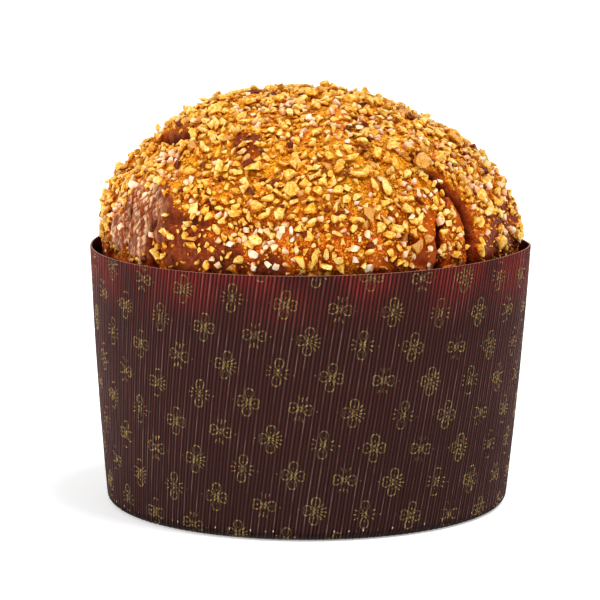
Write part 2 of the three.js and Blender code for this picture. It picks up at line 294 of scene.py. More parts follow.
class Shader:
    """Short ways to lay out the nodes of one material."""

    def __init__(self, name):
        self.material = bpy.data.materials.new(name)
        self.material.use_nodes = True
        self.tree = self.material.node_tree
        self.surface = self.tree.nodes["Principled BSDF"]

    def node(self, kind, inputs=(), **settings):
        made = self.tree.nodes.new("ShaderNode" + kind)
        for key, value in settings.items():
            setattr(made, key, value)
        for key, value in dict(inputs).items():
            self.put(made.inputs[key], value)
        return made

    def put(self, socket, value):
        if isinstance(value, bpy.types.NodeSocket):
            self.tree.links.new(value, socket)
        else:
            socket.default_value = value

    def set(self, **sockets):
        for key, value in sockets.items():
            self.put(self.surface.inputs[key.replace("_", " ")], value)

    def place(self):
        return self.node("TexCoord").outputs["Object"]

    def number(self, name):
        return self.node("Attribute", attribute_name=name).outputs["Fac"]

    def noise(self, size, detail=3.0, roughness=0.55, stretch=None):
        """Noise from 0 to 1 with features of a size in millimetres, which may be stretched."""
        where = self.place()
        if stretch:
            scaling = self.node("VectorMath", {0: where, 1: stretch}, operation="MULTIPLY")
            where = scaling.outputs[0]
        inputs = {"Vector": where, "Scale": 1 / (size * MM), "Detail": detail, "Roughness": roughness}
        return self.node("TexNoise", inputs).outputs["Fac"]

    def math(self, operation, first, second=0.0, clamp=False):
        inputs = {0: first, 1: second}
        return self.node("Math", inputs, operation=operation, use_clamp=clamp).outputs[0]

    def fit(self, value, low, high, to_low=0.0, to_high=1.0):
        inputs = {"Value": value, 1: low, 2: high, 3: to_low, 4: to_high}
        return self.node("MapRange", inputs, interpolation_type="SMOOTHSTEP").outputs[0]

    def mix(self, share, first, second):
        """A mix of two colours, each from a node or as display numbers from 0 to 255."""
        pair = [colour(*value) if isinstance(value, tuple) else value for value in (first, second)]
        return self.node("Mix", {0: share, 6: pair[0], 7: pair[1]}, data_type="RGBA").outputs[2]

    def bump(self, height, depth, strength=1.0):
        """Relief from a height of 0 to 1, as deep as said in millimetres."""
        inputs = {"Height": height, "Distance": depth * MM, "Strength": strength}
        self.set(Normal=self.node("Bump", inputs).outputs[0])


def colour(red, green, blue):
    """A display colour from 0 to 255, as the light that a shader takes."""
    def light(value):
        share = value / 255
        return share / 12.92 if share <= 0.04045 else ((share + 0.055) / 1.055) ** 2.4
    return (light(red), light(green), light(blue), 1.0)


# Loaf
def smoothstep(values, low, high):
    share = np.clip((np.asarray(values, dtype=float) - low) / (high - low), 0, 1)
    return share * share * (3 - 2 * share)


def dome_points(turn, rise):
    """Points of the smooth dome. Rise runs from 0 at its foot to a quarter turn at its top."""
    reach = np.where(rise < 0, 1, np.maximum(np.cos(rise), 0) ** (2 / DOME_POWER))
    height = DOME_RISE * np.where(rise < 0, rise, np.maximum(np.sin(rise), 0) ** (2 / DOME_POWER))
    shift = DOME_SHIFT * np.clip(height / SHIFT_OVER, 0, 1)
    lean = DOME_LEAN * (np.maximum(0, height - LEAN_START) / (DOME_RISE - LEAN_START)) ** 2
    across = DOME_RADIUS * reach * np.cos(turn) + shift + lean
    return np.stack([across, DOME_RADIUS * reach * np.sin(turn), DOME_FOOT + height], -1)


def dome_normals(turn, rise):
    ways = np.stack([
        np.cos(rise) * np.cos(turn) / DOME_RADIUS,
        np.cos(rise) * np.sin(turn) / DOME_RADIUS,
        np.maximum(np.sin(rise), 0) / DOME_RISE,
    ], -1)
    return ways / norm(ways, axis=-1, keepdims=True)


def to_path(points, path):
    """Distance from each point to a path of (turn, rise) in degrees, and how far along it that is."""
    turns, rises = np.radians(np.array(path, dtype=float)).T
    corners = dome_points(turns, rises)
    spans = norm(np.diff(corners, axis=0), axis=1)
    nearest = np.full(len(points), np.inf)
    place = np.zeros(len(points))
    before = 0
    for start, end, span in zip(corners[:-1], corners[1:], spans):
        along = end - start
        share = np.clip((points - start) @ along / (along @ along), 0, 1)
        distance = norm(points - start - share[:, None] * along, axis=1)
        place = np.where(distance < nearest, (before + share * span) / spans.sum(), place)
        nearest = np.minimum(nearest, distance)
        before += span
    return nearest, place


def swelling(points, turn, rise):
    """Lobes round the dome's foot, and waves of falling length all over."""
    foot = np.cos(rise) ** 3
    height = LOBE_HEIGHT * foot * (np.sin(5 * turn) + 0.6 * np.cos(8 * turn))
    for i in range(WAVES):
        heading = i * GOLDEN_ANGLE
        length = LONGEST_WAVE * WAVE_FALL ** i
        way = np.array([cos(heading), sin(heading), sin(CLIMB_STEP * i)])
        height += WAVE_SLOPE * length * np.sin(2 * pi * (points @ way) / length + WAVE_STEP * i)
    return height


def creases(points):
    """How deep the creases and their slits are, how much of a groove it is, and how near a tear."""
    height, slit, groove, torn = np.zeros((4, len(points)))
    wander = WANDER * fractal(points, *WANDERING)
    for path, depth, width in CREASES.values():
        distance, place = to_path(points, path)
        ends_open = path[-1][1] > 0
        share = smoothstep(place, 0, FADE) * (1 - ends_open * smoothstep(place, 1 - FADE, 1))
        reach = np.abs(distance + wander) / (width * (NARROWEST + (1 - NARROWEST) * share))
        inside = share * np.exp(-reach ** 2)
        height += depth * (share * LIP * np.exp(-(reach - LIP_PLACE) ** 2) - inside)
        slit -= share * CORE_DEPTH * depth * np.exp(-(reach / CORE) ** 2)
        groove = np.maximum(groove, inside * min(1, depth / GROOVE_DEPTH))
        if depth >= TEAR_DEPTH:
            torn = np.maximum(torn, share * (1 - smoothstep(distance, width, width + TEAR_MARGIN)))
    return height, slit, groove, torn


def fractal(points, size, octaves, seed):
    """Noise of about -1 to 1 at each point, with features of a size in millimetres."""
    shift = Vector((seed, -seed, 0.5 * seed))
    return np.array([
        noise.fractal(Vector(point) / size + shift, 1.0, 2.0, octaves) for point in points
    ])


def cover(points, patches):
    """From 0 outside all patches to 1 well inside one."""
    most = np.zeros(len(points))
    for turn, rise, radius in patches:
        middle = dome_points(radians(turn), radians(rise))
        distance = norm(points - middle, axis=1)
        most = np.maximum(most, 1 - smoothstep(distance, PATCH_CORE * radius, PATCH_EDGE * radius))
    return most


def strands(points, turn):
    """Bare skin: rounded strands that climb round the loaf, parted by sharp folds."""
    spin = -STRAND_LEAN * np.cos(turn - radians(STRAND_TURN)) * (points[:, 2] - DOME_FOOT)
    across = points[:, 0] * np.cos(spin) - points[:, 1] * np.sin(spin)
    along = points[:, 0] * np.sin(spin) + points[:, 1] * np.cos(spin)
    drawn = np.stack([across, along, STRAND_SQUASH * points[:, 2]], -1)
    coarse = np.abs(fractal(drawn, *COARSE_STRANDS))
    fine = np.abs(fractal(drawn, *FINE_STRANDS))
    return 1.5 * coarse + 0.6 * fine


def crust(turn, rise, fine=True):
    """Points of the crust, with what its material and its toppings go by at each."""
    smooth = dome_points(turn, rise)
    crease, slit, groove, torn = creases(smooth)
    coarse = swelling(smooth, turn, rise) + crease - HOLLOW_DEPTH * cover(smooth, HOLLOW_PATCHES)
    high = np.maximum(np.sin(rise), 0)
    most = FOOT_RELIEF + (TOP_RELIEF - FOOT_RELIEF) * high
    skin = cover(smooth, SKIN_PATCHES)
    glossy = cover(smooth, GLOSSY_PATCHES)
    smooth_glaze = cover(smooth, GLAZE_PATCHES)
    low = 1 - smoothstep(rise, radians(-2), radians(5))
    bare = np.maximum.reduce([skin, smooth_glaze, 0.5 * low])
    height = np.minimum(coarse, most) - BED * (1 - skin)
    relief = np.zeros(len(smooth))
    if fine:
        crackle = fractal(smooth, *CRACKLE)
        lump = fractal(smooth, *LUMPS)
        glazed = 0.5 * crackle * (1 - 0.8 * smooth_glaze) + 0.6 * lump
        wrinkled = (0.35 + 0.85 * glossy) * (strands(smooth, turn) - STRAND_MIDDLE) + 0.3 * lump
        relief = (1 - skin) * glazed + skin * wrinkled
        height = height + relief + slit
    height = np.minimum(height, most + 0.4)
    traits = dict(
        groove=groove, torn=torn, skin=skin, bare=bare, relief=relief, glossy=glossy, smooth=smooth_glaze,
        thin=cover(smooth, THIN_PATCHES), sugary=cover(smooth, SUGAR_PATCHES), high=high)
    return smooth + height[:, None] * dome_normals(turn, rise), traits


def square_to_disc(cells):
    """Turn and share of the way out for each point of a square grid laid over a disc."""
    line = np.linspace(-1, 1, cells + 1)
    across, along = np.meshgrid(line, line)
    wide = np.abs(across) >= np.abs(along)
    longest = np.where(wide, np.abs(across), np.abs(along))
    with np.errstate(divide="ignore", invalid="ignore"):
        angle = np.where(wide, pi / 4 * along / across, pi / 2 - pi / 4 * across / along)
    angle = np.nan_to_num(angle) + np.where(np.where(wide, across, along) < 0, pi, 0)
    return angle.ravel(), longest.ravel()


def rise_at(share):
    """The rise at a share of the way from the dome's top to its foot, measured along it."""
    rises = np.linspace(pi / 2, LOWEST_RISE, 400)
    line = dome_points(np.full_like(rises, pi / 2), rises)
    steps = norm(np.diff(line, axis=0), axis=1)
    lengths = np.concatenate([[0], np.cumsum(steps)])
    return np.interp(share, lengths / lengths[-1], rises)


def wall_radius(height):
    share = np.maximum(0, np.asarray(height) - HEEL_RADIUS) / (WALL_HEIGHT - HEEL_RADIUS)
    return FOOT_RADIUS + (RIM_RADIUS - FOOT_RADIUS) * share + WALL_BULGE * np.sin(pi * share)


def wall_shift(height):
    return FOOT_SHIFT * np.maximum(0, 1 - np.asarray(height) / WALL_HEIGHT)


def side_ring(turn, edge, height):
    """A ring of the loaf's side: against the paper low down, drawing in to the dome's edge above."""
    level = min(height, PART_HEIGHT)
    drop = HEEL_RADIUS - level
    if drop > 0:
        inside = HEEL_RADIUS - PAPER - GAP
        against = FOOT_RADIUS - HEEL_RADIUS + sqrt(inside ** 2 - drop ** 2)
    else:
        against = wall_radius(level) - PAPER - GAP
    share = float(smoothstep(height, PART_HEIGHT, DOME_FOOT))
    ring = np.empty((len(turn), 3))
    ring[:, 0] = (1 - share) * (wall_shift(height) + against * np.cos(turn)) + share * edge[:, 0]
    ring[:, 1] = (1 - share) * against * np.sin(turn) + share * edge[:, 1]
    ring[:, 2] = height
    return ring


def beside(points, seats, sizes):
    """Painted shade on the crust: from 0 away from all toppings to 1 next to or under one."""
    tree = kdtree.KDTree(len(seats))
    for i, seat in enumerate(seats):
        tree.insert(seat, i)
    tree.balance()
    most = np.zeros(len(points))
    for i, point in enumerate(points):
        for _, seat, distance in tree.find_n(point, 3):
            most[i] = max(most[i], SHADE_REACH - distance / (0.5 * sizes[seat]))
    return smoothstep(most, 0, 0.9)


def add_crust(material, seats, sizes):
    """The dome as a square grid wrapped over it, with the loaf's side and bottom below."""
    turn, share = square_to_disc(CRUST_CELLS)
    points, traits = crust(turn, rise_at(share))
    row = CRUST_CELLS + 1
    corner = np.arange(row * row).reshape(row, row)
    quads = np.stack([corner[:-1, :-1], corner[:-1, 1:], corner[1:, 1:], corner[1:, :-1]], -1)
    faces = [quads.reshape(-1, 4)]
    edge = np.concatenate([corner[0, :-1], corner[:-1, -1], corner[-1, :0:-1], corner[:0:-1, 0]])
    rings = [side_ring(turn[edge], points[edge], level) for level in SIDE_LEVELS]
    above = edge
    start = len(points)
    for ring in rings:
        below = start + np.arange(len(edge))
        start += len(edge)
        faces.append(np.stack([above, below, np.roll(below, -1), np.roll(above, -1)], -1))
        above = below
    middle = np.array([[FOOT_SHIFT, 0, LOAF_BOTTOM]])
    half = np.arange(0, len(edge), 2)
    hub = np.full(len(half), start)
    faces.append(np.stack([hub, above[(half + 2) % len(edge)], above[half + 1], above[half]], -1))
    points = np.concatenate([points, *rings, middle])
    piece = make_piece("crust", points, np.concatenate(faces), [material])
    extra = len(points) - len(turn)
    traits["beside"] = beside(points[:len(turn)], seats, sizes)
    for name in ("groove", "skin", "relief", "glossy", "smooth", "high", "beside"):
        paint(piece, name, np.concatenate([traits[name], np.full(extra, name == "skin")]))
    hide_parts("loaf")


# Toppings
def hull(points):
    """Points and triangles of the closed hull of some points."""
    solid = bmesh.new()
    for point in points:
        solid.verts.new(point)
    bmesh.ops.convex_hull(solid, input=solid.verts)
    solid.verts.index_update()
    corners = np.array([list(vertex.co) for vertex in solid.verts])
    faces = np.array([[vertex.index for vertex in face.verts] for face in solid.faces])
    solid.free()
    return corners, faces


def ball(subdivisions):
    """Points spread evenly over a ball of radius 1."""
    sphere = bmesh.new()
    bmesh.ops.create_icosphere(sphere, subdivisions=subdivisions, radius=1.0)
    points = [tuple(vertex.co) for vertex in sphere.verts]
    sphere.free()
    return points


def cut_cube(cut):
    """Corner points of a cube of half width 1 whose corners are cut off."""
    points = []
    for axis in range(3):
        for signs in product((-1, 1), repeat=3):
            point = list(signs)
            point[axis] *= cut
            points.append(tuple(point))
    return points


def lumps(rng, sizes, template, kind):
    """Irregular lumps: a template that is skewed, cut by random planes and pressed flat."""
    count = len(sizes)
    signs = np.array(list(product((-1, 1), repeat=3)))
    weights = np.prod((1 + signs[None] * template[:, None]) / 2, axis=2)
    offsets = rng.normal(scale=kind["skew"], size=(count, 8, 3))
    points = template[None] + np.einsum("vc,nci->nvi", weights, offsets)
    for _ in range(kind["cuts"]):
        way = rng.normal(size=(count, 1, 3))
        way /= norm(way, axis=2, keepdims=True)
        level = rng.uniform(*CUT_LEVELS, (count, 1))
        over = np.maximum(0, (points * way).sum(2) - level)
        points = points - over[:, :, None] * way
    wide, thick = rng.uniform(*kind["width"], count), rng.uniform(*kind["thick"], count)
    spans = sizes[:, None] / 2 * np.stack([np.ones(count), wide, thick], -1)
    return points * spans[:, None, :]


def dome_spots(rng, count):
    """Random places on the crust, even by area, with its traits and the normal of its coarse form."""
    share = np.sqrt(rng.uniform(0, 1, 2 * count))
    rise = rise_at(share)
    weight = np.cos(rise) ** (2 / DOME_POWER) / np.maximum(share, 0.05)
    keep = rng.uniform(0, weight.max(), len(weight)) < weight
    rise = rise[keep][:count]
    turn = rng.uniform(0, 2 * pi, len(rise))
    points, traits = crust(turn, rise, fine=False)
    right = crust(turn + NORMAL_STEP, rise, fine=False)[0]
    above = crust(turn, np.minimum(rise + NORMAL_STEP, pi / 2), fine=False)[0]
    below = crust(turn, np.maximum(rise - NORMAL_STEP, 0), fine=False)[0]
    normals = np.cross(right - points, above - below)
    length = norm(normals, axis=1, keepdims=True)
    smooth = dome_normals(turn, rise)
    normals = smooth + np.where(length > 1e-6, normals / np.maximum(length, 1e-6), smooth)
    normals /= norm(normals, axis=1, keepdims=True)
    return points, normals, traits


def densities(points, traits):
    """Chance from 0 to 1 that a try of each sort of topping stays where it falls."""
    clump = smoothstep(fractal(points, *CLUMPS), -0.45, 0.35)
    bare = traits["bare"]
    open_ground = (1 - smoothstep(traits["groove"], 0.1, 0.6)) * (1 - 0.92 * traits["torn"])
    open_ground *= 1 - 0.99 * traits["glossy"] * bare
    low = 1 - smoothstep(traits["high"], 0.25, 0.75)
    sugary = traits["sugary"]
    sparse = np.maximum(0.6 * traits["thin"], 0.75 * sugary)
    nuts = open_ground * (0.35 + 0.65 * clump) * (1 - sparse) * (1 - 0.9 * bare)
    sugar = open_ground * (0.25 + 0.2 * low + 0.6 * sugary) * (0.5 + 0.5 * clump) * (1 - 0.8 * bare)
    meal = open_ground * (0.5 + 0.5 * traits["thin"]) * (1 - 0.85 * bare)
    return {"nuts": nuts, "sugar": sugar, "meal": meal}


def scatter(rng, points, chances):
    """Spots and sizes that each topping takes, by throwing darts, the biggest toppings first."""
    grid = {}
    taken = {}
    used = 0
    order = rng.permutation(len(points))
    for name, kind in TOPPINGS.items():
        chosen = []
        for spot in order[used:used + kind["tries"]]:
            low, high = kind["size"]
            size = low + (high - low) * rng.random() ** 2
            if rng.random() > chances[kind["grows"]][spot]:
                continue
            x, y, z = points[spot]
            key = [int(value // SCATTER_CELL) for value in (x, y, z)]
            near = [
                other for i, j, k in product((-1, 0, 1), repeat=3)
                for other in grid.get((key[0] + i, key[1] + j, key[2] + k), ())
            ]
            apart = kind["apart"] * 0.5
            if any(
                (x - a) ** 2 + (y - b) ** 2 + (z - c) ** 2 < (apart * (size + s)) ** 2
                for a, b, c, s in near
            ):
                continue
            grid.setdefault(tuple(key), []).append((x, y, z, size))
            chosen.append((spot, size))
        used += kind["tries"]
        spots, sizes = zip(*chosen)
        taken[name] = np.array(spots), np.array(sizes)
    return taken


def lay(rng, shapes, places, normals, lift, tilt):
    """Lays each shape on the crust along its normal, tilted and turned at random."""
    count = len(shapes)
    up = normals + rng.normal(scale=tilt, size=(count, 3))
    up /= norm(up, axis=1, keepdims=True)
    side = np.cross(up, rng.normal(size=(count, 3)))
    side /= norm(side, axis=1, keepdims=True)
    stand = np.stack([side, np.cross(up, side), up], -1)
    turned = np.einsum("nij,nvj->nvi", stand, shapes)
    return turned + (places + normals * lift[:, None])[:, None, :]


def inwards(placed):
    """How far each lump must move to lie inside the solids' box."""
    lowest, highest = np.array(SOLID_BOX) / MM
    return np.maximum(0, lowest - placed.min(1)) - np.maximum(0, placed.max(1) - highest)


def add_toppings(finishes):
    """Each sort of topping as one joined piece, painted with a shade and how far each point dips.

    Gives back where the ones lie that cast painted shade on the crust next to them, and their sizes."""
    rng = np.random.default_rng(TOPPING_SEED)
    points, normals, traits = dome_spots(rng, sum(kind["tries"] for kind in TOPPINGS.values()))
    taken = scatter(rng, points, densities(points, traits))
    forms = {"pebble": hull(ball(2)), "crumb": hull(ball(1)), "block": hull(cut_cube(CORNER_CUT))}
    for name, kind in TOPPINGS.items():
        template, triangles = forms[kind["form"]]
        spots, sizes = taken[name]
        shapes = lumps(rng, sizes, template, kind)
        lift = (kind["lift"] + rng.uniform(*LIFT_RANGE, len(spots))) * sizes
        placed = lay(rng, shapes, points[spots], normals[spots], lift, kind["tilt"])
        placed += inwards(placed)[:, None]
        count, corners = placed.shape[:2]
        height = ((placed - points[spots][:, None]) * normals[spots][:, None]).sum(2)
        top = np.maximum(height.max(1, keepdims=True), 0.3)
        faces = (triangles[None] + corners * np.arange(count)[:, None, None]).reshape(-1, 3)
        piece = make_piece(
            name, placed.reshape(-1, 3), faces,
            [finishes[kind["finish"]]], FACET_ANGLE)
        paint(piece, "dip", (1 - np.clip(height / top, 0, 1)).ravel())
        paint(piece, "shade", np.repeat(rng.uniform(0, 1, count), corners))
    seats = np.concatenate([points[taken[name][0]] for name in SHADY_TOPPINGS])
    return seats, np.concatenate([taken[name][1] for name in SHADY_TOPPINGS])


# Paper case
def flute_wave(turn, length):
    """Depth below the ridges at a place of the wall, from 0 on a tall ridge to 1 between two."""
    phase = FLUTES * (turn - FLUTE_LEAN * length)
    for strength, waves, drift in FLUTE_WANDER:
        phase = phase + strength * np.sin(waves * turn + drift * length)
    low = 0.5 - 0.5 * np.cos(phase / 2)
    ridge = (0.5 + 0.5 * np.cos(phase)) ** RIDGE_SHAPE
    return 1 - ridge * (1 - LOW_RIDGE * low)


def case_outline(length):
    """Radius and height of the case's outside at a length up from where the heel starts."""
    bend = np.clip(np.asarray(length, dtype=float) / HEEL_RADIUS, 0, pi / 2)
    above = np.maximum(0, length - HEEL_RADIUS * pi / 2)
    height = HEEL_RADIUS * (1 - np.cos(bend)) + above
    heel = FOOT_RADIUS - HEEL_RADIUS + HEEL_RADIUS * np.sin(bend)
    return np.where(above > 0, wall_radius(height), heel), height


def rim_bend(turn, height):
    """How far the paper is bent outwards and up near the rim."""
    outwards, up = 0, 0
    for middle, half, most_outwards, most_up in RIM_BENDS:
        apart = (np.degrees(turn) - middle + 180) % 360 - 180
        share = np.exp(-(apart / half) ** 2)
        outwards = outwards + most_outwards * share
        up = up + most_up * share
    share = smoothstep(height, BEND_START, WALL_HEIGHT)
    return outwards * share, up * share


def case_point(turn, length, inset):
    """Points at a turn and a length up the case's outside, set in from the ridges."""
    radius, height = case_outline(length)
    bend = np.clip(np.asarray(length) / HEEL_RADIUS, 0, pi / 2)
    sway = RIM_SWAY * np.cos(turn) * (height / WALL_HEIGHT) ** 3
    outwards, up = rim_bend(turn, height)
    out = radius + outwards - (inset + INK_STAND) * np.sin(bend)
    return np.stack([
        wall_shift(height) + out * np.cos(turn),
        out * np.sin(turn),
        height + sway + up + (inset + INK_STAND) * np.cos(bend),
    ], -1)


def ridge_inset(turn, length):
    """How far the outside lies below its ridges, deeper and less even where it is folded under."""
    fold = np.exp(-((np.asarray(length) - PINCH_PLACE) / PINCH_REACH) ** 2)
    uneven = 0.5 + 0.5 * np.sin(PINCH_WAVES[0] * turn + 1.3) * np.sin(PINCH_WAVES[1] * turn)
    depth = FLUTE_DEPTH + HEEL_PINCH * fold * (0.4 + 0.6 * uneven)
    return depth * flute_wave(turn, length)


def add_case(paper, edge):
    """The fluted strip: flange, heel and outside going up, over the rim, and the inside down."""
    columns = FLUTES * FLUTE_STEPS
    base = 2 * pi * np.arange(columns) / columns
    rings, valleys, lengths = [], [], []

    def ring(length, inset):
        turn = base + FLUTE_LEAN * length
        rings.append(case_point(turn, np.full(columns, float(length)), inset(turn, length)))
        valleys.append(flute_wave(turn, length))
        lengths.append(np.full(columns, length))

    def flat_ring(height):
        around = [FOOT_SHIFT + FLANGE_RADIUS * np.cos(base), FLANGE_RADIUS * np.sin(base)]
        rings.append(np.stack([*around, np.full(columns, height)], -1))
        valleys.append(np.zeros(columns))
        lengths.append(np.zeros(columns))

    def inner(turn, length):
        return PAPER - FLUTE_DEPTH + ridge_inset(turn, length)

    def flat_inner(turn, length):
        return np.full(columns, PAPER)

    flat_ring(PAPER)
    flat_ring(0.0)
    heel = np.linspace(0, HEEL_RADIUS * pi / 2 + 2, 10)
    for length in heel:
        ring(length, lambda turn, at: ridge_inset(turn, at) * min(1, at / 2))
    for length in np.linspace(heel[-1] + 4, CASE_LENGTH - 0.35, 13):
        ring(length, ridge_inset)
    rim = len(rings)
    ring(CASE_LENGTH - 0.05, lambda turn, at: ridge_inset(turn, at) + 0.03)
    ring(CASE_LENGTH, lambda turn, at: ridge_inset(turn, at) + 0.12)
    ring(CASE_LENGTH, lambda turn, at: inner(turn, at) - 0.1)
    ring(CASE_LENGTH - 0.1, inner)
    for length in INSIDE_RINGS:
        ring(length, inner)
    ring(HEEL_RADIUS * pi / 2, flat_inner)
    ring(0.0, flat_inner)
    faces, indices = [], []
    for band in range(len(rings)):
        lower = band * columns + np.arange(columns)
        upper = ((band + 1) % len(rings)) * columns + np.arange(columns)
        faces.append(np.stack([lower, np.roll(lower, -1), np.roll(upper, -1), upper], -1))
        indices.append(np.full(columns, int(rim <= band < rim + 3)))
    piece = make_piece("case_paper", np.concatenate(rings), np.concatenate(faces),
                       [paper, edge], PAPER_ANGLE)
    piece.data.polygons.foreach_set("material_index", np.concatenate(indices).astype(np.int32))
    paint(piece, "valley", np.concatenate(valleys))
    paint(piece, "length", np.concatenate(lengths))
    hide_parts("case_wall")


# Print
def petal(way, near, far, wide, notch):
    """A rounded petal's outline, from its point near the middle out, past a notch, and back."""
    around = np.linspace(0, 2 * pi, 19)
    swell = (1 - np.cos(around)) / 2
    along = near + (far - near) * swell - notch * np.exp(-((around - pi) / 0.4) ** 2)
    outline = np.stack([along, wide * np.sin(around) * swell ** 0.2], -1)
    return outline @ np.array([[cos(way), sin(way)], [-sin(way), cos(way)]])


def ray(way, near, far):
    """A short stroke that points away from the middle."""
    return np.outer([near, far], [cos(way), sin(way)])


def motif(kind):
    """Strokes of one of four flowers, as arrays of points across and up in millimetres."""
    strokes = []
    for quarter in range(4):
        way = quarter * pi / 2
        upright = quarter % 2 == 1
        if kind == 1 and upright:
            strokes += [ray(way + lean, 4.0, 5.6) for lean in (-0.34, 0.34)]
            strokes.append(ray(way, 3.0, 4.9))
        elif kind == 2 and quarter == 0:
            strokes += [ray(way + lean, 2.2, 4.9) for lean in (-0.8, -0.4, 0.0, 0.4, 0.8)]
        elif kind == 3 and not upright:
            strokes += [ray(way + lean, 3.2, 4.9) for lean in (-0.45, 0.0, 0.45)]
        else:
            strokes.append(petal(way, *(UPRIGHT_PETAL if upright else SIDE_PETAL)))
            strokes.append(ray(way, 2.4, 3.2))
    for k in range(8):
        strokes.append(ray(k * pi / 4 + 0.39, 0.4, 1.5 + 0.5 * (k % 2)))
    side = 6.6 if kind % 2 else -6.6
    strokes.append(np.array([[side, -0.3], [side, 0.3]]))
    return strokes


def resampled(points, step):
    """The same polyline with points no further apart than a step."""
    made = [points[0]]
    for start, end in zip(points[:-1], points[1:]):
        pieces = max(1, int(np.ceil(norm(end - start) / step)))
        made += [start + (end - start) * k / pieces for k in range(1, pieces + 1)]
    return np.array(made)


def add_print(ink):
    """Outline flowers in rows that climb round the case: thin strips that follow its flutes."""
    rng = np.random.default_rng(PRINT_SEED)
    row_turn, row_climb = radians(NEXT_ROW[0]), NEXT_ROW[1]
    step_turn = (2 * pi + ROWS_CLIMBED * row_turn) / ROW_STEPS
    step_climb = ROWS_CLIMBED * row_climb / ROW_STEPS
    rows = int(CASE_LENGTH / -row_climb) + ROWS_CLIMBED + 2
    quarter = HEEL_RADIUS * (pi / 2 - 1)
    points, faces, valleys = [], [], []
    start = 0
    for step, row in product(range(ROW_STEPS), range(-ROWS_CLIMBED - 1, rows)):
        middle = radians(FIRST_MOTIF[0]) + step * step_turn + row * row_turn
        level = FIRST_MOTIF[1] + quarter + step * step_climb + row * row_climb
        tilt = MOTIF_TILT + rng.normal(scale=TILT_SPREAD)
        if not -MOTIF_REACH < level < CASE_LENGTH + MOTIF_REACH:
            continue
        turning = np.array([[cos(tilt), sin(tilt)], [-sin(tilt), cos(tilt)]])
        for line in motif((step + 2 * row) % 4):
            line = resampled(line @ turning, INK_STEP)
            along = np.gradient(line, axis=0)
            along /= np.maximum(norm(along, axis=1, keepdims=True), 1e-9)
            side = np.stack([-along[:, 1], along[:, 0]], -1) * INK_WIDTH / 2
            both = np.stack([line - side, line + side], 1)
            length = level + both[:, :, 1]
            turn = middle + both[:, :, 0] / wall_radius(np.clip(length, 0, WALL_HEIGHT))
            fits = ((length > INK_MARGINS[0]) & (length < CASE_LENGTH - INK_MARGINS[1])).all(1)
            if fits.sum() < 2:
                continue
            placed = case_point(turn, length, ridge_inset(turn, length) - INK_STAND)
            points.append(placed.reshape(-1, 3))
            valleys.append(flute_wave(turn, length).ravel())
            first = start + 2 * np.flatnonzero(fits[:-1] & fits[1:])
            faces.append(np.stack([first, first + 1, first + 3, first + 2], -1))
            start += 2 * len(line)
    used, corners = np.unique(np.concatenate(faces), return_inverse=True)
    piece = make_piece(
        "case_print", np.concatenate(points)[used], corners.reshape(-1, 4), [ink])
    paint(piece, "valley", np.concatenate(valleys)[used])


# Finishes
def crust_material():
    made = Shader("crust")
    skin, groove, glossy, relief, high, smooth = [
        made.number(name) for name in ("skin", "groove", "glossy", "relief", "high", "smooth")]
    broad, mottle, grain = made.noise(9, 4), made.noise(1.9, 5, 0.7), made.noise(0.75, 3, 0.6)
    threads = made.noise(1.5, 3, 0.6, (1.0, 1.0, 0.13))
    glaze = made.mix(made.fit(mottle, 0.36, 0.62), (230, 112, 0), (254, 182, 6))
    glaze = made.mix(made.fit(broad, 0.42, 0.72, 0, 0.6), glaze, (222, 84, 0))
    glaze = made.mix(made.fit(high, 0.1, 0.65, 0.85, 0), glaze, (224, 68, 0))
    glaze = made.mix(made.fit(grain, 0.5, 0.62, 0, 0.7), glaze, (254, 202, 56))
    glaze = made.mix(made.fit(grain, 0.48, 0.38, 0, 0.5), glaze, (146, 26, 0))
    # painted shade: the glaze darker where its fine relief is low
    glaze = made.mix(made.fit(relief, 0.1, -0.5, 0, 0.5), glaze, (120, 20, 0))
    # painted shade on the glaze next to and under the nuts, stronger low on the dome
    nut_shade_share = made.fit(made.number("beside"), 0.2, 1.0)
    nut_shade_share = made.math("MULTIPLY", nut_shade_share, made.fit(high, 0.1, 0.7, 0.6, 0.25))
    glaze = made.mix(nut_shade_share, glaze, (136, 24, 0))
    bald = made.mix(made.fit(broad, 0.35, 0.65), (196, 84, 14), (140, 50, 16))
    glaze = made.mix(made.fit(smooth, 0.3, 0.8, 0, 0.85), glaze, bald)
    # painted shade: the dark skin darker in the folds of its relief
    dark_skin = made.mix(made.fit(relief, -0.4, 0.4), (84, 20, 4), (136, 46, 14))
    dark_skin = made.mix(made.fit(mottle, 0.45, 0.68, 0, 0.7), dark_skin, (180, 78, 22))
    # pale tan skin, its palest strands painted highlights
    pale_skin_and_highlights = made.mix(made.fit(threads, 0.42, 0.66, 0, 0.95), (156, 62, 18), (255, 212, 160))
    # painted shade: the pale skin darker in the folds of its relief
    pale_skin_and_highlights = made.mix(made.fit(relief, 0.0, -0.6, 0, 0.85), pale_skin_and_highlights, (110, 32, 10))
    bare = made.mix(glossy, dark_skin, pale_skin_and_highlights)
    patchy = made.math("ADD", skin, made.fit(mottle, 0.3, 0.7, -0.3, 0.3), clamp=True)
    base = made.mix(made.fit(patchy, 0.35, 0.75), glaze, bare)
    # darker red along the creases, away from bare skin
    off_skin = made.fit(skin, 0.3, 0.7, 1, 0.15)
    crease_red = made.math("MULTIPLY", made.fit(groove, 0.03, 0.22, 0, 0.8), off_skin)
    base = made.mix(crease_red, base, (158, 44, 4))
    # painted shade deep in the creases
    base = made.mix(made.fit(groove, 0.2, 0.7), base, (100, 16, 2))
    sleek = made.math("MAXIMUM", glossy, smooth)
    made.set(Base_Color=base, Roughness=made.fit(sleek, 0.1, 0.8, 0.5, 0.3))
    made.set(Specular_Tint=(1.0, 0.72, 0.4, 1.0), Specular_IOR_Level=0.24)
    rough = made.math("ADD", made.math("MULTIPLY", mottle, 0.5), made.math("MULTIPLY", grain, 0.7))
    rough = made.node("Mix", {0: smooth, 2: rough, 3: 0.5}).outputs[0]
    height = made.node("Mix", {0: skin, 2: rough, 3: threads}).outputs[0]
    made.bump(height, 0.9)
    return made.material


